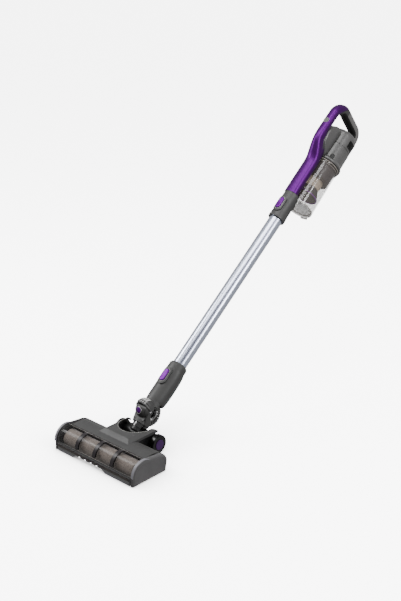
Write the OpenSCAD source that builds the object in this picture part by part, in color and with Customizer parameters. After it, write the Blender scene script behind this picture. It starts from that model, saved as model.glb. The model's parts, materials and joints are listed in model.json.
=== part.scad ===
// Cordless stick vacuum: motorised floor head, folding elbow, wand tube and handset.
// Origin: on the floor under the middle of the floor head. +X along the brush roll,
// +Y backwards towards the handset, +Z up. Millimetres.

/* [Floor head] */
// Width of the floor head
head_w = 260; // [240:2:280]
// Height of the brush roll's axis
roll_z = 22; // [21.6:0.1:23]
// Distance of the brush roll's axis in front of the origin
roll_y = 31; // [30:0.5:32]
// Radius of the brush roll over its nap
roll_r = 21.5; // [20:0.1:21.5]
// Height of the wings over the floor
wing_z = 50.5; // [49:0.5:52]
// Height of the central hump over the floor
hump_z = 57; // [56:0.5:57]

/* [Wheels and neck] */
// Radius of the rear wheels
wheel_r = 22.5; // [22:0.1:23]
// Distance of the wheel axle behind the origin
axle_y = 84; // [83:0.5:85]
// Lean of the wand over the floor, in degrees
wand_lean = 38.4; // [37:0.1:40]
// Distance of the wand's axis from the wheel axle
neck_offset = 21; // [20.5:0.1:21.5]

/* [Wand] */
// Outer radius of the wand tube
tube_r = 17.2; // [17:0.05:17.2]
// Wall of the wand tube
tube_wall = 1.6; // [1.2:0.1:2]
// Distance along the wand at which the tube leaves the elbow arm
tube_low = 188; // [180:1:190]
// Distance along the wand at which the tube enters the handset
tube_high = 636; // [600:1:640]

/* [Handset] */
// Radius of the handset's nose collar
collar_r = 20.5; // [20.3:0.1:21]
// Distance of the dust bin's axis from the wand's axis
bin_t = 45; // [45:0.1:46]
// Radius of the dust bin at its foot
bin_foot_r = 40.5; // [39:0.1:40.5]
// Radius of the dust bin at its rim
bin_rim_r = 37; // [36:0.1:37.5]
// Height of the dust bin
bin_h = 133; // [131:1:133]
// Radius of the handle's grip bar
grip_r = 13.3; // [12.5:0.1:13.5]

/* [Hidden] */
$fn = 64;
e = 0.01;
run = 0.05;                                       // radial clearance of running fits
gap = 0.3;                                        // gap round buttons and covers
wall = 2.5;
head_x = head_w / 2;
cap_w = 12;                                       // width of one end cap
inner_x = head_x - cap_w;                         // half width between the end caps
bell_in = 26.8;                                   // brush chamber radius
bell_out = 28.4;
window_in = 28.6;
window_out = 30.8;
motor_y = 22;
motor_z = 27;
belt_x = -(inner_x + 4.5);
roll_pulley_r = 9;
motor_pulley_r = 5;
pin_r = 4;
wheel_in = 51;
wheel_out = 65;
arm_in = 40.5;
arm_out = 47.5;
wand_y = axle_y - neck_offset * sin(wand_lean);
wand_z = wheel_r + neck_offset * cos(wand_lean);
ring_low = 19;                                    // swivel ring, along the wand
ring_high = 27;
fold_s = 52;                                      // elbow pivot, along and across the wand
fold_t = -17;
hub_r = 15;
arm_r = 23;
arm_low = 80;
tube_foot = tube_low - 56;
tube_top = tube_high + 56;
collar_high = 714;
bin_low = 713;
bin_high = bin_low + bin_h;
case_low = bin_high + 4;
case_high = 953;
socket_s = 896;
vent_s = 923;
ball_r = 21.2;                                    // inner ball of the elbow, about its pivot
dome_in = 21.5;
dome_out = 24.2;
grip_s = 987.5;
notch_t = 29;                                     // front edge of the lid beside the collar

// ---------- shared shapes ----------

// Children drawn across the wand (x, t) and along it (s) are put in place.
module on_wand() {
    translate([0, wand_y, wand_z]) rotate([wand_lean - 90, 0, 0]) children();
}

// A profile drawn in (y, z), extruded along X from x0 to x1.
module along_x(x0, x1) {
    translate([x0, 0, 0]) rotate([90, 0, 90]) linear_extrude(x1 - x0) children();
}

// A cylinder whose axis runs along X from x0 to x1, centred on (y, z).
module rod_x(r, x0, x1, y, z) {
    translate([x0, y, z]) rotate([0, 90, 0]) cylinder(r = r, h = x1 - x0);
}

module tube(r_out, r_in, h) {
    difference() {
        cylinder(r = r_out, h = h);
        translate([0, 0, -1]) cylinder(r = r_in, h = h + 2);
    }
}

// A flat oval of length l along y and width w along x.
module oval(l, w) {
    square([w, l - w], center = true);
    for (k = [-1, 1]) translate([0, k * (l - w) / 2]) circle(d = w);
}

// An oval plug facing the front of the wand, from depth t0 to t1, centred at s.
module oval_plug(l, w, t0, t1, s) {
    translate([0, t1, s]) rotate([90, 0, 0]) linear_extrude(t1 - t0) oval(l, w);
}

// A sector of a ring in the profile plane, from angle a0 to a1.
function sector(r_out, r_in, a0, a1, n = 24) = concat(
    [for (i = [0:n]) let (a = a0 + (a1 - a0) * i / n) [r_out * cos(a), r_out * sin(a)]],
    [for (i = [n:-1:0]) let (a = a0 + (a1 - a0) * i / n) [r_in * cos(a), r_in * sin(a)]]);

// ---------- floor head ----------

// Side profile of the wings, with the walls moved in by d.
function wing_profile(d) = concat(
    [[-20 + d, wing_z - d], [-20 + d, 3 + d / 2], [42 - d, 3 + d / 2]],
    [for (a = [0:10:90]) [10 + (35 - d) * cos(a), 24 + (wing_z - 24 - d) * sin(a)]]);

// Side profile of an end cap, moved in by d.
function cap_profile(d) = concat(
    [[-roll_y - 34 + d, 0.6 + d / 4], [40 - d, 0.6 + d / 4]],
    [for (a = [0:15:90]) [10 + (35 - d) * cos(a), 24 + (wing_z - 24 - d) * sin(a)]],
    [for (a = [80:12:176]) [(33.5 - d) * cos(a) - roll_y, (33.5 - d) * sin(a) + roll_z]]);

module hump(d) {
    intersection() {
        translate([0, 96 - d, 0]) rotate([90, 0, 0]) linear_extrude(100)
            polygon([[-48 + d, 30], [-48 + d, wing_z - d / 2], [-37 + d / 2, hump_z - d],
                     [37 - d / 2, hump_z - d], [48 - d, wing_z - d / 2], [48 - d, 30]]);
        along_x(-51, 51)
            polygon([[-1 + d, 30], [-1 + d, wing_z - 1], [12 + d, hump_z - d],
                     [80 - d, hump_z - d], [96 - d, wing_z - 2 - d], [96 - d, 30]]);
    }
}

module neck_well(r) {
    translate([0, 71, 0]) cylinder(r = r, h = 80);
    translate([-r, 71, 0]) cube([2 * r, 60, 80]);
}

module head_cover() {
    color([0.27, 0.27, 0.28]) difference() {
        union() {
            along_x(-inner_x, inner_x) polygon(wing_profile(0));
            intersection() {
                hump(0);
                translate([-60, -10, 44.3]) cube([120, 120, 20]);
            }
        }
        along_x(-inner_x - 1, inner_x + 1) polygon(wing_profile(wall));
        translate([-49.8, 30, -1]) cube([99.6, 40, 45]);
        hump(wall);
        translate([-inner_x - 1, -60, -1]) cube([2 * inner_x + 2, 120, 8]);
        rod_x(window_out, -inner_x - 1, inner_x + 1, -roll_y, roll_z);
        neck_well(40);
    }
}

module sole_base() {
    color([0.2, 0.2, 0.21]) difference() {
        union() {
            translate([-inner_x + gap, -9, 3]) cube([2 * (inner_x - gap), 49, 3.4]);
            translate([0, -roll_y, roll_z])
                along_x(-inner_x + gap, inner_x - gap) polygon(sector(bell_out, bell_in, -52, 66));
            for (k = [-1, 1]) {
                along_x(k > 0 ? arm_in : -arm_out, k > 0 ? arm_out : -arm_in) {
                    polygon([[36, 3], [36, 41], [62, 43.5], [axle_y, 43.5], [axle_y, wheel_r - 12]]);
                    translate([axle_y, wheel_r]) circle(r = 12);
                }
                for (y = [12, 34]) translate([k * 72, y, 6]) cylinder(r = 4, h = 8);
            }
            intersection() {
                translate([0, 71, 4]) tube(42.6, 40.4, 39.5);
                translate([-arm_in - 1, 20, 0]) cube([2 * arm_in + 2, 52, 50]);
            }
        }
        for (k = [-1, 1]) {
            rod_x(pin_r, min(k * 30, k * 60), max(k * 30, k * 60), axle_y, wheel_r);
            for (y = [12, 34]) translate([k * 72, y, 2]) cylinder(r = 1.5, h = 20);
        }
        translate([0, -6, roll_z + 3]) rotate([-90, 0, 0]) cylinder(r = 14, h = 60);
        translate([0, 71, 0]) cylinder(r = 40.4, h = 8);
    }
}

module front_bumper() {
    color([0.27, 0.27, 0.28]) difference() {
        along_x(-inner_x, inner_x)
            polygon([[-64.5, 1], [-64.8, 12], [-62.2, 20.8], [-59.9, 20.8], [-60.2, 12], [-57, 8], [-54, 1]]);
        translate([-15, -60, 0]) rotate([90, 0, 0]) linear_extrude(20, center = true)
            polygon([[-56, -1], [56, -1], [44, 8.5], [-44, 8.5]]);
        light_spots();
    }
}

module end_cap(k) {
    color([0.29, 0.29, 0.31]) difference() {
        hull() {
            along_x(min(k * inner_x, k * (inner_x + 6)), max(k * inner_x, k * (inner_x + 6)))
                polygon(cap_profile(0));
            along_x(min(k * head_x, k * (head_x - 1)), max(k * head_x, k * (head_x - 1)))
                polygon(cap_profile(3.5));
        }
        rod_x(15, min(k * (inner_x - 1), k * (inner_x + 9)), max(k * (inner_x - 1), k * (inner_x + 9)),
              -roll_y, roll_z);
        if (k < 0) {
            along_x(-inner_x - 9, -inner_x + 1)
                polygon([[-roll_y, roll_z - 13], [motor_y, motor_z - 10], [motor_y + 10, motor_z],
                         [motor_y, motor_z + 10], [-roll_y, roll_z + 15]]);
        }
    }
}

module brush_window() {
    color([0.35, 0.3, 0.28, 0.45]) translate([0, -roll_y, roll_z])
        along_x(-inner_x, inner_x) polygon(sector(window_out - 0.1, window_in, 70, 178));
}

module window_ribs() {
    color([0.08, 0.08, 0.09]) translate([0, -roll_y, roll_z])
        for (x = [-57.5, 0, 57.5]) translate([x, 0, 0])
            along_x(-5, 5) polygon(sector(window_in - 0.1, window_in - 1.6, 72, 176));
}

module light_lens() {
    color([0.4, 0.33, 0.3, 0.7]) along_x(-inner_x + 2, inner_x - 2)
        polygon([[-66.2, 13], [-66.2, 17.5], [-64, 18], [-64.9, 13]]);
}

module light_spots() {
    for (i = [0:3]) translate([-44 + i * 19, -58, 10.6]) rotate([90, 0, 0]) cylinder(r = 2.2, h = 12);
}

module led_lights() {
    color("white") intersection() {
        light_spots();
        translate([-60, -65, 5]) cube([120, 10, 12]);
    }
}

module sole_strip() {
    color([0.12, 0.12, 0.13]) translate([-100, -4, 0]) cube([200, 12, 3]);
}

module brush_motor() {
    color([0.6, 0.6, 0.62]) {
        rod_x(13, -108, -52, motor_y, motor_z);
        rod_x(5, -52, -48, motor_y, motor_z);
    }
}

module motor_pulley() {
    color([0.85, 0.85, 0.8]) {
        rod_x(1.5, -inner_x - 8, -108 - 0.2, motor_y, motor_z);
        rod_x(motor_pulley_r, belt_x - 2.4, belt_x + 2.4, motor_y, motor_z);
    }
}

module belt_outline(d) {
    hull() {
        translate([-roll_y, roll_z]) circle(r = roll_pulley_r + d);
        translate([motor_y, motor_z]) circle(r = motor_pulley_r + d);
    }
}

module drive_belt() {
    color([0.1, 0.1, 0.1]) along_x(belt_x - 2, belt_x + 2) difference() {
        belt_outline(1.6);
        belt_outline(run);
    }
}

module roll_bushings() {
    color([0.75, 0.72, 0.6]) for (k = [-1, 1]) translate([k * (inner_x + 8), -roll_y, roll_z])
        rotate([0, 90, 0]) translate([0, 0, -1]) tube(4.5, 2.5 + run, 2);
}

module brush_core() {
    color([0.3, 0.27, 0.25]) {
        rod_x(17.5, -inner_x + 3, inner_x - 3, -roll_y, roll_z);
        rod_x(2.5, -inner_x - 8.8, inner_x + 8.8, -roll_y, roll_z);
    }
}

module brush_nap() {
    color([0.5, 0.44, 0.4]) translate([-inner_x + 6, -roll_y, roll_z]) rotate([0, 90, 0])
        tube(roll_r, 17.5, 2 * inner_x - 12);
}

module brush_pulley() {
    color([0.85, 0.85, 0.8]) translate([belt_x - 2.4, -roll_y, roll_z]) rotate([0, 90, 0])
        tube(roll_pulley_r, 2.5, 4.8);
}

module axle_pins() {
    color([0.75, 0.75, 0.77]) for (k = [-1, 1])
        rod_x(pin_r, min(k * 31, k * 63), max(k * 31, k * 63), axle_y, wheel_r);
}

module head_screws() {
    color([0.7, 0.7, 0.72]) for (k = [-1, 1], y = [12, 34]) translate([k * 72, y, 1.2]) {
        cylinder(r = 1.5, h = 12);
        cylinder(r = 3, h = 1.8);
    }
}

module wheel(k) {
    color([0.08, 0.08, 0.08]) difference() {
        union() {
            rod_x(wheel_r, min(k * (wheel_in + 1.5), k * (wheel_out - 1.5)),
                  max(k * (wheel_in + 1.5), k * (wheel_out - 1.5)), axle_y, wheel_r);
            rod_x(wheel_r - 1.5, min(k * wheel_in, k * wheel_out),
                  max(k * wheel_in, k * wheel_out), axle_y, wheel_r);
        }
        rod_x(pin_r + run, min(k * 50, k * 63.4), max(k * 50, k * 63.4), axle_y, wheel_r);
        rod_x(12.2, min(k * 63.4, k * 66), max(k * 63.4, k * 66), axle_y, wheel_r);
    }
}

module hub(k) {
    color([0.3, 0.12, 0.42])
        rod_x(12.2, min(k * 63.4, k * 66.4), max(k * 63.4, k * 66.4), axle_y, wheel_r);
}

// ---------- neck and elbow ----------

module neck_drum() {
    color([0.08, 0.08, 0.09]) difference() {
        union() {
            rod_x(19.5, -39.5, 39.5, axle_y, wheel_r);
            on_wand() cylinder(r = 15, h = 8);
            on_wand() translate([-15, 0, -4]) cube([30, 14, 12]);
            on_wand() cylinder(r = 13.5, h = ring_high);
        }
        on_wand() translate([0, 0, 2]) cylinder(r = 11, h = 40);
        on_wand() translate([0, 0, ring_low - 0.4]) tube(40, 13.5, 20);
        for (k = [-1, 1])
            rod_x(pin_r + run, min(k * 30, k * 45), max(k * 30, k * 45), axle_y, wheel_r);
    }
}

module neck_bellows() {
    color([0.06, 0.06, 0.06]) difference() {
        on_wand() {
            translate([0, 0, 8]) tube(15, 13.5, 10.6);
            for (i = [0:3]) translate([0, 0, 8.6 + i * 2.7]) tube(17, 14, 1.4);
        }
        rod_x(19.5, -30, 30, axle_y, wheel_r);
    }
}

// Ball about the elbow's pivot, its poles on the pin.
module ball(r) {
    translate([0, fold_t, fold_s]) rotate([0, 90, 0]) sphere(r = r);
}

// Outline of a wedge about the elbow's pivot, from angle a0 to a1.
function wedge(a0, a1) = concat(
    [[fold_t - 3 * cos((a0 + a1) / 2), fold_s - 3 * sin((a0 + a1) / 2)]],
    [for (i = [0:4]) let (a = a0 + (a1 - a0) * i / 4) [fold_t + 60 * cos(a), fold_s + 60 * sin(a)]]);

module elbow_yoke() {
    color([0.27, 0.27, 0.28]) on_wand() difference() {
        union() {
            translate([0, 0, ring_low]) tube(20, 13.5 + run, ring_high - ring_low);
            intersection() {
                union() {
                    for (k = [-1, 1])
                        rod_x(16, min(k * 15.6, k * 20), max(k * 15.6, k * 20), fold_t, fold_s);
                    along_x(-20, 20) polygon(wedge(196, 274));
                }
                ball(ball_r);
            }
            for (k = [-1, 1]) translate([k * 17.8, 0, 0]) along_x(-2.2, 2.2)
                polygon([[-17.4, 40], [-9, ring_low + 1], [9, ring_low + 1], [8, ring_high + 1],
                         [fold_t + 9, fold_s - 6], [fold_t + 5, fold_s + 3], [fold_t, fold_s]]);
            translate([-15.9, -16.8, ring_high - 2]) cube([31.8, 3, 10]);
        }
        rod_x(3, -30, 30, fold_t, fold_s);
        translate([0, fold_t, fold_s]) rotate([128, 0, 0]) cylinder(r = 6.9, h = 30);
        translate([0, 0, 10]) cylinder(r = 13.5 + run, h = 22);
        rod_x(15.6, -15.6, 15.6, fold_t, fold_s);
    }
}

module elbow_pin() {
    color([0.75, 0.75, 0.77]) on_wand() rod_x(3, -20.8, 20.8, fold_t, fold_s);
}

module fold_button() {
    color([0.42, 0.1, 0.62]) on_wand() translate([0, fold_t, fold_s]) rotate([128, 0, 0])
        translate([0, 0, 17.4]) cylinder(r = 6.6, h = 2.5);
}

// Lower end of the arm: a sleeve open to the rear and the elbow's round front cover.
module elbow_dome() {
    difference() {
        union() {
            translate([0, 0, 68]) cylinder(r = arm_r, h = tube_low - 72);
            intersection() {
                ball(dome_out);
                along_x(-30, 30) polygon(wedge(78, 166));
            }
        }
        ball(dome_in);
        translate([0, 0, 60]) cylinder(r = 20.5, h = arm_low - 60);
        translate([-30, -4, 60]) cube([60, 60, arm_low - 60]);
    }
}

module elbow_arm() {
    color([0.27, 0.27, 0.28]) on_wand() difference() {
        union() {
            elbow_dome();
            translate([0, 0, tube_low - 4]) cylinder(r1 = arm_r, r2 = arm_r - 2.5, h = 4);
            rod_x(hub_r, -15.2, 15.2, fold_t, fold_s);
            translate([-12, fold_t - 1, fold_s]) cube([24, 8.5, arm_low - fold_s + 3]);
            intersection() {
                oval_plug(46, 24, -26.6, -15, 145);
                translate([0, 0, 110]) cylinder(r = 26.6, h = 70);
            }
        }
        translate([0, 0, arm_low - 1]) cylinder(r = 15.5, h = 200);
        translate([0, 0, tube_foot]) cylinder(r = tube_r + run, h = 200);
        rod_x(3 + run, -30, 30, fold_t, fold_s);
        oval_plug(33 + 2 * gap, 14 + 2 * gap, -40, -19.6, 145);
        translate([0, fold_t, fold_s]) for (x = [-9, -3, 3, 9]) translate([x, 0, 0])
            along_x(-1, 1) polygon(sector(30, 18, 118, 160, 8));
        difference() {
            translate([-16, 0, arm_low - 14]) cube([32, 30, 14.5]);
            translate([-30, -30, arm_low]) cube([60, 60, 40]);
        }
    }
}

module arm_button() {
    color([0.42, 0.1, 0.62]) on_wand() intersection() {
        oval_plug(33, 14, -29.4, -23, 145);
        translate([0, 0, 100]) cylinder(r = 29.4, h = 90);
    }
}

// Middle line of the corrugated hose: s and t at u from 0 to 1.
function hose_s(u) = ring_high + 1.5 + u * (arm_low - ring_high - 3);
function hose_t(u) = 4 + 15.5 * sin(180 * u);
function hose_r(i) = i % 2 == 0 ? 13.2 : 14.6;

module elbow_hose() {
    rings = 22;
    sides = 20;
    function spot(i, r) = let (u = i / rings, du = 0.01,
        a = min(1, 5 * u, 5 - 5 * u) * atan2(hose_t(min(1, u + du)) - hose_t(max(0, u - du)),
                                             hose_s(min(1, u + du)) - hose_s(max(0, u - du))))
        [for (j = [0:sides - 1]) let (c = cos(360 * j / sides), s = sin(360 * j / sides))
            [r * c, hose_t(u) + r * s * cos(a), hose_s(u) - r * s * sin(a)]];
    points = concat([for (i = [0:rings]) each spot(i, hose_r(i))],
                    [for (i = [rings:-1:0]) each spot(i, 11.5)]);
    loops = 2 * (rings + 1);
    faces = [for (i = [0:loops - 1], j = [0:sides - 1])
        let (a = i * sides, b = ((i + 1) % loops) * sides, k = (j + 1) % sides)
        each [[a + j, a + k, b + k], [a + j, b + k, b + j]]];
    color([0.05, 0.05, 0.05]) on_wand() polyhedron(points, faces);
}

// ---------- wand ----------

module wand_tube() {
    color([0.78, 0.8, 0.86]) on_wand() translate([0, 0, tube_foot])
        tube(tube_r, tube_r - tube_wall, tube_top - tube_foot);
}

module wand_conduit() {
    color([0.3, 0.3, 0.32]) on_wand() translate([0, -12.4, tube_foot + 4])
        tube(2.6, 1.6, tube_top - tube_foot - 8);
}

// ---------- handset ----------

module nose_collar() {
    color([0.27, 0.27, 0.28]) on_wand() difference() {
        union() {
            rotate_extrude() polygon([[15, tube_high], [collar_r + 1.6, tube_high],
                [collar_r + 1.8, tube_high + 4], [collar_r + 0.6, tube_high + 22],
                [collar_r, collar_high], [15, collar_high]]);
            intersection() {
                oval_plug(46, 23, -24.4, -12, 672);
                translate([0, 0, tube_high + 6]) cylinder(r = 24.4, h = 66);
            }
            translate([-9, 14, 686]) cube([18, 9.5, 14]);
        }
        translate([0, 0, tube_high - 1]) cylinder(r = tube_r + run, h = tube_top - tube_high + 1);
        translate([0, 0, tube_high]) cylinder(r = 15, h = 200);
        translate([0, 0, tube_top]) cylinder(r = 17.6, h = 200);
        oval_plug(33 + 2 * gap, 14 + 2 * gap, -40, -18.4, 672);
        translate([-6.3, 19, 688.7]) cube([12.6, 8, 8.6]);
        translate([-30, 4, bin_low - 4.4]) cube([60, 30, 10]);
    }
}

module collar_button() {
    color([0.42, 0.1, 0.62]) on_wand() intersection() {
        oval_plug(33, 14, -27.4, -21.2, 672);
        translate([0, 0, 640]) cylinder(r = 27.4, h = 70);
    }
}

module lid_button() {
    color([0.1, 0.1, 0.1]) on_wand() translate([-6, 21.6, 689]) cube([12, 5, 8]);
}

bend_r = 35;                                      // top bend of the handle's loop
// Stations of the handset's loop: [s, t, tangent angle, outer, inner, half width].
// The tangent angle is 0 along the wand and 90 straight away from it.
loop_spine = [
    [collar_high + gap, -8, 0, 12.5, 11.5, 18.3], [740, -8.5, 0, 13.2, 12, 18.2],
    [780, -9, 0, 13.4, 12.5, 18], [812, -9.5, 0, 13.8, 13, 18], [826, -11, 0, 16, 14.5, 17.6],
    [840, -15, 0, 20.5, 18, 17], [852, -19.5, 0, 23, 21, 16.4], [862, -24, 0, 23.6, 22, 15.4],
    [872, -30, 0, 20.6, 19, 14.4], [882, -35, 0, 17, 15, 13.6], [894, -39, 0, 13.6, 12.4, 12.8],
    [910, -40, 0, 12.3, 12, 12.4], [grip_s - bend_r, -40, 0, 12.3, 12, 12.4]];
loop_bend = [for (a = [12:13:90]) [grip_s - bend_r * (1 - sin(a)), bend_r * (1 - cos(a)) - 40, a,
                                   12.3 + a / 90, 12 + a / 70, 12.4 + a / 100]];
loop_grip = [for (t = [12:16:60]) [grip_s, t - 4, 90, grip_r, grip_r, grip_r]];
heel_r = 22;
loop_heel = [for (a = [10:20:90]) [grip_s - heel_r * (1 - cos(a)), 57 + heel_r * sin(a), 90 + a,
                                   grip_r, grip_r, grip_r]];
loop_end = [[grip_s - heel_r - 22, 79, 180, grip_r, grip_r, grip_r],
            [grip_s - heel_r - 44, 78, 180, grip_r - 3, grip_r, grip_r]];
loop = concat(loop_spine, loop_bend, loop_grip, loop_heel, loop_end);
loop_sides = 28;

function soft(v, p) = sign(v) * pow(abs(v), p);
function loop_ring(q, d) = [for (j = [0:loop_sides - 1]) let (
    c = cos(360 * j / loop_sides), s = -sin(360 * j / loop_sides),
    square_in = q[0] < 890 && q[2] == 0 ? max(0.5, min(0.82, 0.5 + (q[0] - 845) / 100)) : 0.82,
    u = (s > 0 ? q[3] - d : q[4] - d) * soft(s, 0.82), v = (q[5] - d) * soft(c, s < 0 ? square_in : 0.82))
    [v, q[1] - u * cos(q[2]), q[0] + u * sin(q[2])]];

// The handle's loop as one solid, with its skin moved in by d.
module loop_solid(d) {
    n = len(loop);
    points = [for (q = loop) each loop_ring(q, d)];
    faces = concat(
        [[for (j = [0:loop_sides - 1]) j]],
        [for (i = [0:n - 2], j = [0:loop_sides - 1]) let (a = i * loop_sides, k = (j + 1) % loop_sides)
            each [[a + j, a + loop_sides + j, a + loop_sides + k], [a + j, a + loop_sides + k, a + k]]],
        [[for (j = [loop_sides - 1:-1:0]) (n - 1) * loop_sides + j]]);
    polyhedron(points, faces);
}

// Outline, in (t, s), of what the purple cover takes of the loop, moved by d.
module cover_outline(d) {
    polygon([[-90, 700], [-d, 700], [-d, 836], [-2 - d, 862], [-20 - d, 880], [-36 - d, 902],
             [-36 - d, 946], [-33 - d, 960], [-24 - d, 980], [-8 - d, 1000], [-6 - d, 1020], [-90, 1020]]);
}

module loop_shell() {
    difference() {
        loop_solid(0);
        difference() {
            loop_solid(wall);
            translate([-40, -90, collar_high]) cube([80, 240, 0.5]);
        }
    }
}

module spine_cover() {
    color([0.36, 0.09, 0.56]) on_wand() difference() {
        intersection() {
            loop_shell();
            along_x(-40, 40) cover_outline(0);
        }
        translate([0, -30, 922]) rotate([90, 0, 0]) cylinder(r = 6.9, h = 40);
    }
}

module screw_spots(r) {
    for (k = [-1, 1], s = [730, 800])
        translate([k * 11, 4, s]) rotate([90, 0, 0]) cylinder(r = r, h = 2.4);
}

// Web that joins the kink of the spine to the motor case.
module shoulder() {
    difference() {
        along_x(-16, 16) polygon([[-31, 872], [2, 848], [8, 862], [8, 944], [-4, 942], [-12, 939],
                                  [-24, 931], [-33, 910]]);
        loop_solid(1);
    }
}

module spine_shell() {
    color([0.24, 0.24, 0.25]) on_wand() difference() {
        union() {
            loop_shell();
            shoulder();
        }
        screw_spots(1.7);
        along_x(-40, 40) cover_outline(-0.1);
        translate([-40, -2, 940]) cube([80, 140, 140]);
        translate([-40, 34, 700]) cube([80, 100, 300]);
        translate([0, bin_t, 900]) cylinder(r = 37.6, h = 60);
        translate([0, -8, 760]) rotate([-90, 0, 0]) cylinder(r = 9, h = 30);
        translate([0, bin_t, case_low - 6]) cylinder(r = 42, h = 120);
    }
}

module handle_grip() {
    color([0.3, 0.3, 0.31]) on_wand() difference() {
        loop_shell();
        along_x(-40, 40) cover_outline(-0.1);
        translate([-40, -92, 700]) cube([80, 90.1, 400]);
        translate([-40, -3, 700]) cube([80, 60, 200]);
        translate([0, bin_t, case_low - 6]) cylinder(r = 37.4, h = 110);
        translate([-40, 20, 700]) cube([80, 100, 230]);
    }
}

module motor_case() {
    color([0.4, 0.4, 0.41]) on_wand() difference() {
        translate([0, bin_t, 0]) union() {
            rotate_extrude() polygon([[31, case_low], [41, case_low], [42, case_low + 2],
                [42, case_low + 5], [38.4, case_low + 12], [37.2, case_low + 54], [36, case_low + 55],
                [36, case_low + 57], [34.6, case_low + 57], [34.6, case_low + 3], [31, case_low + 3]]);
            translate([-9, 37, case_low]) difference() {
                cube([18, 7, 28]);
                translate([-1, -1, -1]) rotate([0, 0, 0]) cube([20, 2, 30]);
            }
        }
        translate([0, bin_t, 864]) rotate([0, 0, -48]) translate([30, 0, 0]) rotate([0, 90, 0])
            translate([0, 0, -1]) linear_extrude(20) square([12.6, 10.6], center = true);
        translate([-34, bin_t, socket_s]) rotate([0, -90, 0]) cylinder(r = 5, h = 10);
    }
}

module case_cap() {
    color([0.42, 0.42, 0.43]) on_wand() difference() {
        translate([0, bin_t, 0]) rotate_extrude() polygon([[35.2, case_low + 57 + gap],
            [36.8, case_low + 57 + gap], [36.6, case_high - 12], [34.5, case_high - 5],
            [30, case_high - 1], [24, case_high], [0, case_high], [0, case_high - 2.5],
            [24, case_high - 2.5], [31, case_high - 5], [34.2, case_high - 13]]);
        for (a = [0, 180]) translate([0, bin_t, vent_s]) rotate([0, 0, a])
            translate([30, 0, 0]) rotate([0, 90, 0]) linear_extrude(20) square([22, 24], center = true);
    }
}

module vent_grilles() {
    color([0.12, 0.12, 0.12]) on_wand() for (a = [0, 180])
        translate([0, bin_t, vent_s]) rotate([0, 0, a]) translate([32.4, 0, 0])
            for (k = [-4:4]) translate([0, 0, k * 2.4]) rotate([0, 90, 0])
                linear_extrude(1.4) square([1.2, 23.6], center = true);
}

module suction_motor() {
    color([0.55, 0.55, 0.57]) on_wand() translate([0, bin_t, 0]) difference() {
        union() {
            translate([0, 0, 884]) cylinder(r = 21, h = 34);
            translate([0, 0, 884]) cylinder(r = 34.2, h = 3);
        }
        translate([0, 0, 880]) cylinder(r = 2 + run, h = 30);
    }
}

module impeller() {
    color([0.85, 0.85, 0.88]) on_wand() translate([0, bin_t, 872]) {
        cylinder(r = 23, h = 1.5);
        cylinder(r = 6, h = 9);
        cylinder(r = 2, h = 30);
        for (i = [0:8]) rotate([0, 0, i * 40]) translate([4, -0.6, 0]) cube([18, 1.2, 8]);
    }
}

module premotor_filter() {
    color([0.9, 0.9, 0.88]) on_wand() translate([0, bin_t, case_low + 5]) difference() {
        cylinder(r = 33.5, h = 12);
        for (a = [0:30:330]) rotate([0, 0, a]) translate([22, -1, 3]) cube([20, 2, 10]);
    }
}

module exhaust_filter() {
    color([0.88, 0.88, 0.86]) on_wand() translate([0, bin_t, 920]) tube(31, 24, 20);
}

module battery_pack() {
    color([0.15, 0.35, 0.6]) on_wand() {
        translate([0, -12, 805]) cylinder(r = 8.2, h = 39);
        translate([0, -26.5, 846]) cylinder(r = 8.2, h = 27);
    }
}

module control_board() {
    color([0.1, 0.4, 0.2]) on_wand() translate([-5.5, -40, 898]) cube([11, 1.6, 44]);
}

module charge_socket() {
    color([0.1, 0.1, 0.1]) on_wand() translate([-38.9, bin_t, socket_s]) rotate([0, 90, 0])
        difference() {
            union() {
                cylinder(r = 5, h = 12);
                cylinder(r = 6.5, h = 1.2);
            }
            translate([0, 0, -1]) cylinder(r = 2.9, h = 10);
        }
}

module power_button() {
    color([0.45, 0.45, 0.44]) on_wand() translate([0, -46, 922]) rotate([90, 0, 0])
        cylinder(r = 6.6, h = 8.2);
}

module bin_latch() {
    color([0.1, 0.1, 0.1]) on_wand() translate([0, bin_t, 864]) rotate([0, 0, -48])
        translate([35, 0, 0]) rotate([0, 90, 0]) linear_extrude(6.5) square([12, 10], center = true);
}

module handset_screws() {
    color([0.7, 0.7, 0.72]) on_wand() screw_spots(1.6);
}

module arm_spring() {
    color([0.8, 0.8, 0.8]) on_wand() translate([0, -19.7, 145]) rotate([90, 0, 0]) tube(3.5, 2.7, 3.2);
}

// ---------- dust bin ----------

module dust_bin() {
    color([0.75, 0.7, 0.68, 0.35]) on_wand() difference() {
        translate([0, bin_t, 0]) rotate_extrude() polygon([[bin_foot_r - 2, bin_low],
            [bin_foot_r, bin_low], [bin_rim_r, bin_high - 5], [bin_rim_r + 1.4, bin_high - 5],
            [bin_rim_r + 1.4, bin_high], [bin_rim_r - 2, bin_high]]);
        translate([0, 0, 760]) rotate([-90, 0, 0]) cylinder(r = 9, h = 12);
    }
    color([0.75, 0.7, 0.68, 0.35]) on_wand() intersection() {
        translate([0, bin_t, bin_low]) cylinder(r = bin_foot_r - 2 + e, h = 2);
        translate([-30, 0, bin_low]) cube([60, notch_t, 2]);
    }
}

module cyclone_shroud() {
    color([0.3, 0.28, 0.3]) on_wand() translate([0, bin_t, 0]) rotate_extrude()
        polygon([[22, 800], [33.5, 800], [33.5, bin_high - 2], [34.6, bin_high - 2], [34.6, bin_high],
                 [31.5, bin_high], [31.5, 802], [22, 802]]);
}

module cyclone_tube() {
    color([0.75, 0.68, 0.6]) on_wand() translate([0, bin_t, 774.2]) tube(22, 20, 25.6);
}

module dust_skirt() {
    color([0.25, 0.22, 0.26]) on_wand() translate([0, bin_t, 0]) rotate_extrude()
        polygon([[0, 774], [19.6, 774], [22, 772], [31, 753], [31.8, 748], [29.8, 748],
                 [29, 753], [18, 770], [0, 770]]);
}

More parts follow.
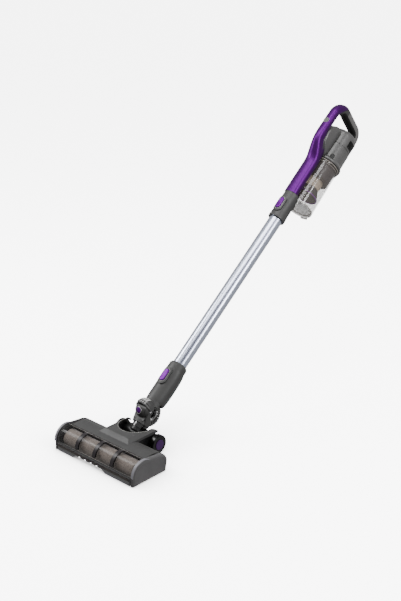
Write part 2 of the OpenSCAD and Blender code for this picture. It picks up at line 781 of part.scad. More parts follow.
module bin_seal() {
    color([0.1, 0.1, 0.1]) on_wand() translate([0, bin_t, bin_high]) tube(37.5, 34.6, 2.5);
}

module lid_hinge_y(r) {
    rod_x(r, -9, 9, bin_t + bin_foot_r + 3.4, bin_low - 2.5);
}

// What the lid leaves free so that it swings past the collar and its button.
module lid_notch() {
    translate([0, 0, 700]) cylinder(r = 22.5, h = 22);
    translate([-12, 0, 700]) cube([24, notch_t, 22]);
}

module bin_lid() {
    color([0.8, 0.72, 0.72, 0.5]) on_wand() difference() {
        union() {
            translate([0, bin_t, bin_low - 3.4]) cylinder(r = bin_foot_r, h = 3.1);
            lid_hinge_y(3);
            translate([-9, bin_t + bin_foot_r - 4, bin_low - 3.4]) cube([18, 7, 2.4]);
        }
        lid_hinge_y(1.2);
        lid_notch();
    }
}

module lid_seal() {
    color([0.15, 0.15, 0.15]) on_wand() difference() {
        translate([0, bin_t, bin_low - 0.3]) tube(36.4, 34.8, 2.4);
        translate([-30, 0, 700]) cube([60, notch_t + 0.6, 30]);
    }
}

// ---------- the assembly ----------

sole_base();
head_cover();
front_bumper();
end_cap(-1);  // end_cap_left
end_cap(1);  // end_cap_right
brush_window();
window_ribs();
light_lens();
led_lights();
sole_strip();
brush_motor();
drive_belt();
roll_bushings();
axle_pins();
head_screws();
brush_core();
brush_nap();
brush_pulley();
motor_pulley();
wheel(-1);  // wheel_left
wheel(1);  // wheel_right
hub(-1);  // hub_left
hub(1);  // hub_right
neck_drum();
neck_bellows();
elbow_yoke();
elbow_pin();
elbow_hose();
fold_button();
elbow_arm();
arm_button();
arm_spring();
wand_tube();
wand_conduit();
nose_collar();
collar_button();
spine_cover();
spine_shell();
handle_grip();
motor_case();
case_cap();
vent_grilles();
suction_motor();
impeller();
exhaust_filter();
premotor_filter();
battery_pack();
control_board();
charge_socket();
power_button();
bin_latch();
handset_screws();
dust_bin();
cyclone_shroud();
cyclone_tube();
dust_skirt();
bin_seal();
bin_lid();
lid_seal();
lid_button();
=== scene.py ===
"""Looks of the cordless stick vacuum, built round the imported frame. Metres, +Z up."""

import json
import math

import bmesh
import bpy
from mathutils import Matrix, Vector


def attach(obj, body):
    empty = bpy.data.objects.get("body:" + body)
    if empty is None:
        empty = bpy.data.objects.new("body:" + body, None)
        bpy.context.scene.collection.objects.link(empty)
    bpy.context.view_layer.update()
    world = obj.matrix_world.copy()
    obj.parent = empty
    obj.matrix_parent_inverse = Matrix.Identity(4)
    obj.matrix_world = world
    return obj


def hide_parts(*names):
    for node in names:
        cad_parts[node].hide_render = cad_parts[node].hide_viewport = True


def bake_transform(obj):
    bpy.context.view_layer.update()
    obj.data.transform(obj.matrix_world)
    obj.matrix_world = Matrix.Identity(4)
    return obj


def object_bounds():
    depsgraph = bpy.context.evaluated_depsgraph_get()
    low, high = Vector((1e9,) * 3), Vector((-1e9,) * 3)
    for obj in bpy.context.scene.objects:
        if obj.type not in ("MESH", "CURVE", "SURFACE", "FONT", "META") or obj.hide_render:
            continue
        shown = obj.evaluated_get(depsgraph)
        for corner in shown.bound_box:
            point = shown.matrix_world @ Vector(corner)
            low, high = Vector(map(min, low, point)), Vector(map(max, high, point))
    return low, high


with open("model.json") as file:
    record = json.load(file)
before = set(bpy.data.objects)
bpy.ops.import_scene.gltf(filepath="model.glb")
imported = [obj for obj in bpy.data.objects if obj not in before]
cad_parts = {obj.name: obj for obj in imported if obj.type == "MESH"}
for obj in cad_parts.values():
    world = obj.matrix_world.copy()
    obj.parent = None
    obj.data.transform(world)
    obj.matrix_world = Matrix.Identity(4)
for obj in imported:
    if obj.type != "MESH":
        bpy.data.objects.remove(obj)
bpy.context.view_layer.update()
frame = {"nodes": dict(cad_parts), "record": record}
MM = 0.001

# ---------- camera, floor and light ----------

CAMERA_AT = Vector((1.6883, -1.5400, 1.3060))
CAMERA_AZIMUTH = 42.65
CAMERA_DOWN = 22.0
LENS = 68.17

WORLD_LIGHT = 0.7
FLOOR_HALF = 40.0
FLOOR_GLOW = 5.6       # emission, which lights nothing else
SHADOW_REACH = 0.16    # how far off the floor a shape still darkens it
SHADOW_POWER = 1.6
SHADOW_RAYS = 12


def make_camera():
    data = bpy.data.cameras.new("camera")
    data.lens = LENS
    data.sensor_width = 36.0
    data.clip_start = 0.05
    camera = bpy.data.objects.new("camera", data)
    camera.location = CAMERA_AT
    camera.rotation_euler = (math.radians(90 - CAMERA_DOWN), 0, math.radians(CAMERA_AZIMUTH))
    bpy.context.collection.objects.link(camera)
    bpy.context.scene.camera = camera


def area_light(name, at, towards, size, watts):
    data = bpy.data.lights.new(name, "AREA")
    data.shape = "RECTANGLE"
    data.size, data.size_y = size
    data.energy = watts
    light = bpy.data.objects.new(name, data)
    light.location = at
    light.rotation_euler = (Vector(towards) - Vector(at)).to_track_quat("-Z", "Y").to_euler()
    bpy.context.collection.objects.link(light)


def make_light():
    world = bpy.data.worlds.new("studio")
    world.use_nodes = True
    world.node_tree.nodes["Background"].inputs["Color"].default_value = (1, 1, 1, 1)
    world.node_tree.nodes["Background"].inputs["Strength"].default_value = WORLD_LIGHT
    bpy.context.scene.world = world
    # Where each lamp stands, what it faces, its size and its power in watts.
    area_light("left_box", (-1.6, -0.6, 1.7), (0, 0.35, 0.3), (0.5, 1.6), 62)
    area_light("right_box", (1.9, 0.6, 1.5), (0, 0.3, 0.3), (0.5, 1.6), 58)
    area_light("top_box", (0.1, 0.2, 2.4), (0, 0.3, 0.2), (1.6, 1.2), 60)


def make_floor():
    """A floor that glows, so it stays pale without lighting the object; ambient occlusion dims its glow
    near the object, a painted shadow under it.
    """
    bm = bmesh.new()
    bmesh.ops.create_grid(bm, x_segments=2, y_segments=2, size=FLOOR_HALF)
    mesh = bpy.data.meshes.new("floor")
    bm.to_mesh(mesh)
    bm.free()
    floor = bpy.data.objects.new("floor", mesh)
    floor.location = (0, 0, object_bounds()[0][2])
    bpy.context.collection.objects.link(floor)
    floor.visible_diffuse = False
    floor.visible_glossy = False
    material = bpy.data.materials.new("floor_white")
    material.use_nodes = True
    shader = material.node_tree.nodes["Principled BSDF"]
    shader.inputs["Base Color"].default_value = (0.97, 0.97, 0.97, 1)
    shader.inputs["Roughness"].default_value = 0.9
    shader.inputs["Emission Color"].default_value = (1, 1, 1, 1)
    nodes, links = material.node_tree.nodes, material.node_tree.links
    # Painted shadow: ambient occlusion dims the floor's glow where the object is near.
    open_sky = nodes.new("ShaderNodeAmbientOcclusion")
    open_sky.samples = SHADOW_RAYS
    open_sky.inputs["Distance"].default_value = SHADOW_REACH
    shade = nodes.new("ShaderNodeMath")
    shade.operation = "POWER"
    shade.inputs[1].default_value = SHADOW_POWER
    bright = nodes.new("ShaderNodeMath")
    bright.operation = "MULTIPLY"
    bright.inputs[1].default_value = FLOOR_GLOW
    links.new(open_sky.outputs["AO"], shade.inputs[0])
    links.new(shade.outputs[0], bright.inputs[0])
    links.new(bright.outputs[0], shader.inputs["Emission Strength"])
    mesh.materials.append(material)


make_camera()
make_light()
make_floor()

# ---------- materials ----------


class Material:
    """A procedural material: a Principled shader with noise in its colour, roughness and bump."""

    def __init__(self, name, color, rough=0.4, metal=0.0, **sockets):
        self.made = bpy.data.materials.new(name)
        self.made.use_nodes = True
        self.tree = self.made.node_tree
        self.shader = self.tree.nodes["Principled BSDF"]
        self.shader.inputs["Base Color"].default_value = (*color, 1)
        self.shader.inputs["Roughness"].default_value = rough
        self.shader.inputs["Metallic"].default_value = metal
        for socket, value in sockets.items():
            self.shader.inputs[socket.replace("_", " ")].default_value = value
        self.color = color
        self.rough = rough

    def node(self, kind, **inputs):
        made = self.tree.nodes.new(kind)
        for key, value in inputs.items():
            made.inputs[key.replace("_", " ")].default_value = value
        return made

    def link(self, source, target):
        self.tree.links.new(source, target)

    def coords(self):
        return self.node("ShaderNodeTexCoord").outputs["Object"]

    def noise(self, scale, detail=3.0):
        texture = self.node("ShaderNodeTexNoise", Scale=scale, Detail=detail)
        self.link(self.coords(), texture.inputs["Vector"])
        return texture.outputs["Fac"]

    def spread(self, fac, low, high):
        """Noise gathers round a half, so its middle is spread over the whole of low to high."""
        ramp = self.node("ShaderNodeMapRange", To_Min=low, To_Max=high)
        ramp.inputs["From Min"].default_value = 0.3
        ramp.inputs["From Max"].default_value = 0.7
        self.link(fac, ramp.inputs["Value"])
        return ramp.outputs["Result"]

    def vary_color(self, fac, amount):
        """Mixes a darker and a lighter shade of the colour, by the share amount each way."""
        dark = [c * (1 - amount) for c in self.color]
        light = [min(1, c * (1 + amount)) for c in self.color]
        mix = self.node("ShaderNodeMix")
        mix.data_type = "RGBA"
        mix.inputs[6].default_value = (*dark, 1)
        mix.inputs[7].default_value = (*light, 1)
        self.link(self.spread(fac, 0, 1), mix.inputs[0])
        self.link(mix.outputs[2], self.shader.inputs["Base Color"])
        return self

    def vary_rough(self, fac, amount):
        spread = self.spread(fac, self.rough - amount, self.rough + amount)
        self.link(spread, self.shader.inputs["Roughness"])
        return self

    def bump(self, fac, height, strength=1.0):
        bump = self.node("ShaderNodeBump", Strength=strength, Distance=height)
        self.link(fac, bump.inputs["Height"])
        self.link(bump.outputs["Normal"], self.shader.inputs["Normal"])
        return self


def moulded(name, color, rough=0.42, grain=0.00006, **sockets):
    """Moulded plastic with a fine spark-eroded grain and faint mottling."""
    made = Material(name, color, rough, **sockets)
    made.vary_color(made.noise(35), 0.10)
    made.vary_rough(made.noise(60), 0.05)
    made.bump(made.noise(2600, 2), grain, 0.5)
    return made.made


def glossy(name, color, rough=0.14, **sockets):
    """Polished plastic: faint haze and long waves only."""
    made = Material(name, color, rough, **sockets)
    made.vary_color(made.noise(22), 0.06)
    made.vary_rough(made.noise(90), 0.03)
    made.bump(made.noise(40, 1), 0.00002, 0.4)
    return made.made


def lacquer(name, color):
    """Metallic lacquer: fine flakes, with a trace of clear coat."""
    made = Material(name, color, 0.42, metal=0.85, Specular_IOR_Level=0.3, Coat_Weight=0.02,
                    Coat_Roughness=0.12)
    made.vary_color(made.noise(3800, 1), 0.16)
    made.vary_rough(made.noise(120), 0.04)
    made.bump(made.noise(3800, 1), 0.00002, 0.25)
    return made.made


def satin(name, color, rough):
    """Metal with a fine even grain, the same in every direction."""
    made = Material(name, color, rough, metal=1.0)
    made.vary_color(made.noise(900, 2), 0.07)
    made.vary_rough(made.noise(700, 2), 0.06)
    made.bump(made.noise(1200, 2), 0.00003, 0.3)
    return made.made


def rubber(name, color, rough=0.6):
    """Matt rubber with a coarse grain."""
    made = Material(name, color, rough, Specular_IOR_Level=0.25)
    made.vary_color(made.noise(80), 0.15)
    made.vary_rough(made.noise(150), 0.08)
    made.bump(made.noise(1500, 3), 0.00008, 0.5)
    return made.made


def clear(name, color, rough=0.08, see=0.9, **sockets):
    """Tinted clear plastic. see is the share of light that each face lets straight through."""
    made = Material(name, color, rough, Alpha=1 - see, **sockets)
    made.vary_color(made.noise(18), 0.04)
    made.vary_rough(made.noise(40), 0.008)
    return made.made


def nap(name, color):
    """Short soft pile."""
    made = Material(name, color, 0.9, Sheen_Weight=0.5)
    made.vary_color(made.noise(500, 4), 0.35)
    made.bump(made.noise(900, 4), 0.0002, 0.5)
    return made.made


# One finish for each material slot of the record.
SKINS = {
    "graphite": moulded("graphite", (0.028, 0.028, 0.0277), 0.45, Specular_IOR_Level=0.22),
    "dark": moulded("dark", (0.003, 0.003, 0.0032), 0.4, Specular_IOR_Level=0.2),
    "cap_grey": moulded("cap_grey", (0.052, 0.051, 0.052), 0.45, Specular_IOR_Level=0.22),
    "window": clear("window", (0.006, 0.005, 0.0045), 0.16, 0.78, Specular_IOR_Level=0.2),
    "lens": clear("lens", (0.02, 0.015, 0.013), 0.18, 0.2, Specular_IOR_Level=0.25),
    "led": glossy("led", (0.9, 0.9, 0.88), 0.2, Emission_Color=(1, 1, 1, 1), Emission_Strength=2.5),
    "steel": satin("steel", (0.6, 0.6, 0.62), 0.3),
    "belt": rubber("belt", (0.005, 0.005, 0.005)),
    "bushing": satin("bushing", (0.6, 0.45, 0.22), 0.35),
    "roll_core": moulded("roll_core", (0.05, 0.04, 0.035), 0.6),
    "nap": nap("nap", (0.21, 0.173, 0.148)),
    "pulley": moulded("pulley", (0.2, 0.2, 0.18), 0.4),
    "wheel": glossy("wheel", (0.002, 0.002, 0.002), 0.25, Specular_IOR_Level=0.2),
    "purple": lacquer("purple", (0.045, 0.002, 0.079)),
    "hub_purple": glossy("hub_purple", (0.028, 0.007, 0.05), 0.4, Specular_IOR_Level=0.15),
    "hose": glossy("hose", (0.0015, 0.0015, 0.0015), 0.12, Specular_IOR_Level=0.6,
                   Coat_Weight=0.6, Coat_Roughness=0.05),
    "tube": satin("tube", (0.42, 0.45, 0.55), 0.24),
    "conduit": moulded("conduit", (0.015, 0.015, 0.016), 0.5),
    "shell": moulded("shell", (0.027, 0.027, 0.027), 0.45, Specular_IOR_Level=0.25),
    "case": moulded("case", (0.046, 0.045, 0.045), 0.3, Specular_IOR_Level=0.35),
    "motor_can": satin("motor_can", (0.6, 0.6, 0.62), 0.35),
    "filter": nap("filter", (0.75, 0.75, 0.72)),
    "cell": glossy("cell", (0.03, 0.12, 0.3), 0.3),
    "board": glossy("board", (0.01, 0.12, 0.04), 0.35),
    "key_grey": moulded("key_grey", (0.07, 0.073, 0.067), 0.4, Specular_IOR_Level=0.3),
    "clear_bin": clear("clear_bin", (0.06, 0.052, 0.046), 0.12, 0.64, Specular_IOR_Level=0.6,
                       Coat_Weight=0.5, Coat_Roughness=0.1),
    "shroud": moulded("shroud", (0.05, 0.04, 0.052), 0.4, Specular_IOR_Level=0.3),
    "beige": moulded("beige", (0.85, 0.68, 0.52), 0.4),
    "skirt": moulded("skirt", (0.03, 0.021, 0.034), 0.35, Specular_IOR_Level=0.3),
    "seal": rubber("seal", (0.006, 0.006, 0.006)),
    "clear_lid": clear("clear_lid", (0.2, 0.183, 0.17), 0.14, 0.3),
}

# Finishes that only the pieces made below use, and two CAD nodes.
EXTRA = {
    "grip": moulded("grip", (0.075, 0.073, 0.072), 0.42, Specular_IOR_Level=0.3),
    "soft_black": rubber("soft_black", (0.0015, 0.0015, 0.0015), 0.7),
    "rim": glossy("rim", (0.14, 0.14, 0.13), 0.3),
    "silver": satin("silver", (0.35, 0.35, 0.34), 0.28),
    "button_purple": lacquer("button_purple", (0.075, 0.0045, 0.135)),
    # Darker tube metal for a painted dark reflection band along the tube.
    "tube_reflection_dark": satin("tube_reflection_dark", (0.12, 0.125, 0.165), 0.3),
    "pale": glossy("pale", (0.2, 0.18, 0.165), 0.25),
    "shroud_dark": moulded("shroud_dark", (0.008, 0.005, 0.011), 0.4, Specular_IOR_Level=0.25),
    "band": glossy("band", (0.12, 0.117, 0.13), 0.4, Specular_IOR_Level=0.3),
    "pin_black": glossy("pin_black", (0.004, 0.004, 0.004), 0.35, Specular_IOR_Level=0.2),
    # bumper: graphite made lighter to make up for the little light on the front bumper, a painted light
    # copy of graphite.
    "bumper": moulded("bumper", (0.07, 0.069, 0.07), 0.42, Specular_IOR_Level=0.3),
    # Light grey: a painted highlight for the edges of the elbow's slots.
    "painted_slot_highlight": glossy("painted_slot_highlight", (0.5, 0.5, 0.49), 0.2),
    "ring_purple": glossy("ring_purple", (0.3, 0.03, 0.5), 0.3),
    "bar": glossy("bar", (0.011, 0.009, 0.01), 0.35, Specular_IOR_Level=0.2),
    "bronze": glossy("bronze", (0.03, 0.022, 0.017), 0.3),
}


# The front bumper takes the lightened graphite, which is painted light.
APART = {"front_bumper": "bumper", "axle_pins": "pin_black"}


def dress_nodes():
    """Gives each CAD node the material of its slot in the record, or its own in APART."""
    for part in frame["record"]["subparts"]:
        name = part["node"]
        node = frame["nodes"][name]
        skin = EXTRA[APART[name]] if name in APART else SKINS[part["material_slot"]]
        if not node.material_slots:
            node.data.materials.append(skin)
        for slot in node.material_slots:
            slot.material = skin


dress_nodes()

# ---------- mesh helpers, in millimetres ----------

LEAN = math.radians(38.4)     # of the wand, up from the floor
ALONG = Vector((0, math.cos(LEAN), math.sin(LEAN)))
ACROSS = Vector((0, math.sin(LEAN), -math.cos(LEAN)))
AXLE_Y, AXLE_Z, NECK_OFFSET = 84, 22.5, 21
WAND_FOOT = Vector((0, AXLE_Y - NECK_OFFSET * math.sin(LEAN), AXLE_Z + NECK_OFFSET * math.cos(LEAN)))
SHARP = math.radians(35)


def wand(x, s, t):
    """Point at s along the wand, t behind its middle line and x to its right."""
    return WAND_FOOT + Vector((x, 0, 0)) + ALONG * s + ACROSS * t


def circle(count):
    """Angles of count even steps round a full turn."""
    return [2 * math.pi * i / count for i in range(count)]


def piece(name, body, skin, points, faces, replaces=(), flat=False):
    """A mesh piece, in one of the finishes above, that rides on a body."""
    mesh = bpy.data.meshes.new(name)
    mesh.from_pydata([Vector(p) * MM for p in points], [], faces)
    bm = bmesh.new()
    bm.from_mesh(mesh)
    bmesh.ops.remove_doubles(bm, verts=bm.verts, dist=1e-6)
    bmesh.ops.recalc_face_normals(bm, faces=bm.faces)
    bm.to_mesh(mesh)
    bm.free()
    if not flat:
        mesh.shade_smooth()
        mesh.set_sharp_from_angle(angle=SHARP)
    made = bpy.data.objects.new(name, mesh)
    bpy.context.collection.objects.link(made)
    mesh.materials.append(EXTRA[skin] if skin in EXTRA else SKINS[skin])
    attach(made, body)
    if replaces:
        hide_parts(*replaces)
    return made


def strip_faces(rows, width, around, ends):
    """Faces of a grid of rows by width points; around joins the last column to the first."""
    faces = []
    for i in range(rows - 1):
        for j in range(width if around else width - 1):
            k = (j + 1) % width
            a, b = i * width, (i + 1) * width
            faces.append((a + j, a + k, b + k, b + j))
    if ends:
        faces.append(tuple(range(width)))
        faces.append(tuple((rows - 1) * width + j for j in range(width)))
    return faces


def loft(name, body, skin, rings, around=True, ends=True, **more):
    """A skin over rings of points, each ring as long as the next."""
    points = [p for ring in rings for p in ring]
    return piece(name, body, skin, points, strip_faces(len(rings), len(rings[0]), around, ends), **more)


NO_PATH_RUNS = Vector((0.31, -0.52, 0.79))    # a direction that no path here takes


def sweep(name, body, skin, path, radius, closed=True, sides=10):
    """A round bead along a path."""
    count = len(path)
    rings = []
    for i in range(count):
        before = path[i - 1] if closed or i else path[0]
        after = path[(i + 1) % count] if closed or i < count - 1 else path[-1]
        ahead = (Vector(after) - Vector(before)).normalized()
        side = ahead.cross(NO_PATH_RUNS).normalized()
        up = side.cross(ahead)
        rings.append([Vector(path[i]) + radius * (side * math.cos(a) + up * math.sin(a))
                      for a in circle(sides)])
    if closed:
        rings.append(rings[0])
    return loft(name, body, skin, rings, ends=not closed)


def racetrack(length, width, count=56):
    """Points (x, s) round a flat oval that is long along s."""
    half = (length - width) / 2
    points = []
    for a in circle(count):
        shift = half if math.sin(a) > 0 else -half
        points.append((width / 2 * math.cos(a), width / 2 * math.sin(a) + shift))
    return points


def on_front(x, s, radius):
    """Point on the front of a round part of the wand of that radius."""
    return wand(x, s, -math.sqrt(radius * radius - x * x))


# ---------- handset: the loop of spine, bend and grip ----------

COLLAR_TOP, GRIP_S, BEND_R, HEEL_R, GRIP_R = 714.3, 987.5, 35, 22, 13.3
STEM_T, STEM_OUTER, STEM_INNER, STEM_HALF = -40, 12.3, 12, 12.4
BOXY = 0.82            # power of the loop's rounded square section: 1 is an ellipse
KINK_S = 872
# Stations of the loop: along, behind, tangent angle, outer depth, inner depth, half width.
SPINE = [(COLLAR_TOP, -8, 0, 12.5, 11.5, 18.3), (740, -8.5, 0, 13.2, 12, 18.2),
         (780, -9, 0, 13.4, 12.5, 18), (812, -9.5, 0, 13.8, 13, 18),
         (826, -11, 0, 16, 14.5, 17.6),
         (840, -15, 0, 20.5, 18, 17), (852, -19.5, 0, 23, 21, 16.4), (862, -24, 0, 23.6, 22, 15.4),
         (872, -30, 0, 20.6, 19, 14.4), (882, -35, 0, 17, 15, 13.6), (894, -39, 0, 13.6, 12.4, 12.8),
         (910, STEM_T, 0, STEM_OUTER, STEM_INNER, STEM_HALF),
         (GRIP_S - BEND_R, STEM_T, 0, STEM_OUTER, STEM_INNER, STEM_HALF)]
BEND = [(GRIP_S - BEND_R * (1 - math.sin(math.radians(a))),
         BEND_R * (1 - math.cos(math.radians(a))) + STEM_T, a,
         STEM_OUTER + a / 90, STEM_INNER + a / 70, STEM_HALF + a / 100) for a in range(12, 91, 13)]
BAR = [(GRIP_S, t - 4, 90, GRIP_R, GRIP_R, GRIP_R) for t in (12, 28, 44, 60)]
HEEL = [(GRIP_S - HEEL_R * (1 - math.cos(math.radians(a))),
         57 + HEEL_R * math.sin(math.radians(a)), 90 + a,
         GRIP_R, GRIP_R, GRIP_R) for a in range(10, 91, 20)]
TAIL = [(GRIP_S - HEEL_R - 22, 79, 180, GRIP_R, GRIP_R, GRIP_R),
        (GRIP_S - HEEL_R - 44, 78, 180, GRIP_R - 3, GRIP_R, GRIP_R)]


def smooth_stations(stations, steps):
    """Stations along a smooth curve through the given ones, without overshoot in size."""
    made = []
    last = len(stations) - 1
    for i in range(last):
        p0, p1 = stations[max(i - 1, 0)], stations[i]
        p2, p3 = stations[i + 1], stations[min(i + 2, last)]
        for k in range(steps):
            u = k / steps
            row = []
            for a, b, c, d in zip(p0, p1, p2, p3):
                row.append(0.5 * (2 * b + (c - a) * u + (2 * a - 5 * b + 4 * c - d) * u ** 2
                                  + (3 * b - a - 3 * c + d) * u ** 3))
            made.append(row)
    made.append(list(stations[-1]))
    return made


def soft(value, power):
    """A power that keeps the sign."""
    return math.copysign(abs(value) ** power, value)


def section(station, angle, inset=0.0, crease=0.0, scoop=0.0):
    """Point (x, along, behind) of the loop's skin at an angle: 0 right side, 90 outer face.

    crease raises a ridge down the outer face, and scoop draws in both sides.
    """
    s, t, turn, outer, inner, half = station
    c, sn = math.cos(math.radians(angle)), math.sin(math.radians(angle))
    # The spine's inner side is squarer low down.
    squared = max(0.5, min(BOXY, 0.5 + (s - 845) / 100)) if s < 890 and turn < 0.01 else BOXY
    u = ((outer if sn > 0 else inner) - inset) * soft(sn, BOXY)
    v = (half - inset) * soft(c, BOXY if sn >= 0 else squared)
    if crease:
        near = abs(angle - 90) / 16
        grow = 1 + crease * max(0, 1 - near)
        u, v = u * grow, v * grow
    if scoop:
        v *= 1 - scoop * math.exp(-((abs(angle - 90) - 78) / 26) ** 2)
    a = math.radians(turn)
    return v, s + u * math.sin(a), t - u * math.cos(a)


# The cover's seam: behind the wand's middle, along it.
COVER_EDGE = [(0, 700), (0, 836), (-2, 862), (-20, 880), (-36, 902), (-36, 946), (-33, 960),
              (-24, 980), (-8, 1000), (-6, 1020)]


def cover_edge(s):
    """Where, behind the wand's middle, the cover's seam lies at a place along it."""
    for (t0, s0), (t1, s1) in zip(COVER_EDGE, COVER_EDGE[1:]):
        if s0 <= s <= s1:
            return t0 + (t1 - t0) * (s - s0) / (s1 - s0)
    return COVER_EDGE[-1][0]


def seam_angle(station):
    """The angle at which the loop's skin meets the cover's seam, or None past the cover's end."""
    low, high = -80.0, 90.0
    _, s, t = section(station, high)
    if t > cover_edge(s):
        return None
    for _ in range(24):
        middle = (low + high) / 2
        _, s, t = section(station, middle)
        if t > cover_edge(s):
            low = middle
        else:
            high = middle
    return high


def kink(station):
    """1 where the spine kinks back, fading to 0 away from it."""
    return math.exp(-((station[0] - KINK_S) / 16) ** 2)


def build_spine_and_bar(stations):
    full = [[section(q, 360 * j / 72, inset=0.5 if q[1] < 30 else 0.42, scoop=0.13 * kink(q))
             for j in range(72)] for q in stations]
    cut = next(i for i, q in enumerate(stations) if q[1] > -3 and q[2] > 60)
    spine = [[wand(*p) for p in ring] for ring in full[:cut + 1]]
    bar = [[wand(*p) for p in ring] for ring in full[cut:]]
    loft("spine_back", "handset", "graphite", spine, replaces=["spine_shell"])
    loft("grip_bar", "handset", "grip", bar, replaces=["handle_grip"])


def build_cover(stations):
    """The purple cover over the loop's outer side, with its hem turned in and a seam each side."""
    rows = []
    width = 61
    for q in stations:
        low = seam_angle(q)
        if low is None or q[1] > 0:
            break
        crease = 0.05 if q[0] < 870 else 0.05 * max(0.0, 1 - (q[0] - 870) / 30)
        row = [wand(*section(q, low, inset=1.4))]
        for j in range(width):
            angle = low + (180 - 2 * low) * j / (width - 1)
            row.append(wand(*section(q, angle, inset=0.05, crease=crease, scoop=0.13 * kink(q))))
        row.append(wand(*section(q, 180 - low, inset=1.4)))
        rows.append(row)
    loft("cover_skin", "handset", "purple", rows, around=False, ends=False, replaces=["spine_cover"])
    seams = [(q, seam_angle(q)) for q in stations if q[1] < 0 and seam_angle(q) is not None]
    right = [wand(*section(q, low, inset=0.2)) for q, low in seams]
    left = [wand(*section(q, 180 - low, inset=0.2)) for q, low in seams]
    sweep("seam_right", "handset", "dark", right, 0.45, closed=False)
    sweep("seam_left", "handset", "dark", left, 0.45, closed=False)


def build_grip_pad(stations):
    """Soft strip with ribs along the inner side of the grip."""
    rows = []
    for i, q in enumerate([q for q in stations if 62 <= q[2] <= 165]):
        lift = 0.5 + 0.08 * (i % 2)
        rows.append([wand(*section(q, a, inset=-lift if -150 < a < -30 else 0.3))
                     for a in range(-154, -25, 4)])
    loft("grip_pad", "handset", "soft_black", rows, around=False, ends=False)


def build_shoulder():
    """Web between the kink and the motor case, narrower at its rounded sides."""
    outline = [(-30, 874), (-12, 862), (0, 852), (7, 862), (7, 900), (7, 928), (6, 938), (0, 940),
               (-6, 938.5), (-14, 935), (-24, 927), (-31, 914), (-33, 900)]
    rings = []
    for x, grow in ((-16, 0.86), (-15.2, 0.93), (-13.5, 0.98), (-11, 1.0),
                    (11, 1.0), (13.5, 0.98), (15.2, 0.93), (16, 0.86)):
        rings.append([wand(x, 900 + (s - 900) * grow, -12 + (t + 12) * grow) for t, s in outline])
    loft("shoulder_web", "handset", "case", rings)


LOOP = smooth_stations(SPINE + BEND + BAR + HEEL + TAIL, 8)
build_spine_and_bar(LOOP)
build_cover(LOOP)
build_grip_pad(LOOP)
build_shoulder()

# ---------- wand, collar and buttons ----------

TUBE_R, ARM_POD_R, COLLAR_POD_R = 17.2, 26.6, 24.4
ARM_KEY_S, COLLAR_KEY_S = 145, 672
KEY_LONG, KEY_WIDE = 33 * 0.995, 14 * 0.99


def rim_round_oval(name, body, s, radius):
    path = [on_front(x, s + along, radius) for x, along in racetrack(35, 16)]
    sweep(name, body, "rim", path, 0.7)


def build_oval_button(name, node, body, s, low, high):
    """An oval key: a domed plug with a rolled edge and a thumb hollow across it.

    low and high are its foot's and its top's distance from the wand's middle line.
    """
    rings = []
    for grow, lift in ((1.0, 0.0), (1.0, 0.55), (0.97, 0.82), (0.9, 0.98), (0.76, 1.0), (0.5, 0.96),
                       (0.25, 0.93), (0.04, 0.92)):
        ring = []
        for x, along in racetrack(KEY_LONG, KEY_WIDE, 72):
            x, along = x * grow, along * grow
            hollow = 0.55 * math.exp(-(along / 4.5) ** 2) * (lift > 0.9)
            ring.append(on_front(x, s + along, low + (high - low) * lift - hollow))
        rings.append(ring)
    loft(name, body, "button_purple", rings, ends=True, replaces=[node])


rim_round_oval("arm_rim", "arm", ARM_KEY_S, ARM_POD_R - 0.1)
rim_round_oval("collar_rim", "handset", COLLAR_KEY_S, COLLAR_POD_R - 0.1)
build_oval_button("arm_key_top", "arm_button", "arm_key", ARM_KEY_S, 23.2, 29.2)
build_oval_button("collar_key_top", "collar_button", "collar_key", COLLAR_KEY_S, 21.4, 27.2)


def ring_on_wand(name, body, skin, s, radius, thick, t=0.0):
    """A ring round an axis along the wand, with a rounded section."""
    path = [wand(radius * math.cos(a), s, t + radius * math.sin(a)) for a in circle(96)]
    sweep(name, body, skin, path, thick)


ring_on_wand("collar_mouth", "handset", "dark", 637.2, 20.3, 1.0)
ring_on_wand("collar_seam", "handset", "dark", 713.7, 19.9, 0.5)
ring_on_wand("arm_mouth", "arm", "dark", 188.3, 18.9, 0.6)


def build_tube_reflection_stripe():
    """A shallow raised darker line along the tube's front right: a painted dark reflection band."""
    rings = []
    for s in [190 + 444 * i / 60 for i in range(61)]:
        ring = []
        for k in range(13):
            a = math.radians(-46 + (k - 6) * 1.5)
            r = TUBE_R + 0.04 + 0.22 * math.cos((k - 6) / 6 * math.pi / 2)
            ring.append(wand(r * math.cos(a), s, r * math.sin(a)))
        rings.append(ring)
    loft("tube_reflection_stripe", "wand", "tube_reflection_dark", rings, around=False, ends=False)


build_tube_reflection_stripe()


POWER_S, POWER_RIM_R = 922, 7.1


def build_power_button():
    """A thin rim that lies on the curved spine, and the domed key inside it."""
    path = []
    for a in circle(48):
        x = POWER_RIM_R * math.cos(a)
        c = soft(min(1, abs(x) / STEM_HALF), 1 / BOXY)
        u = STEM_OUTER * soft(math.sqrt(1 - c * c), BOXY)
        path.append(wand(x, POWER_S + POWER_RIM_R * math.sin(a), STEM_T - u - 0.1))
    sweep("power_rim", "handset", "rim", path, 0.5)
    rings = []
    for r, lift in ((6.55, 6.5), (6.55, 13.1), (6.2, 13.7), (5.4, 14.0), (3.5, 13.8), (0.2, 13.6)):
        rings.append([wand(r * math.cos(a), POWER_S + r * math.sin(a), STEM_T - lift)
                      for a in circle(48)])
    loft("power_top", "power_key", "key_grey", rings, replaces=["power_button"])


build_power_button()

# ---------- elbow ----------

FOLD_S, FOLD_T = 52.0, -17.0     # the elbow's pivot
DOME_R, DOME_HALF, DOME_BULGE = 24.22, 24.1, 2.6
DOME_LOW, DOME_HIGH = 80, 158    # degrees round the pivot
HOSE_FOOT, HOSE_RUN, HOSE_T, HOSE_BOW, HOSE_RIBS = 28.5, 50, 4, 21.0, 12


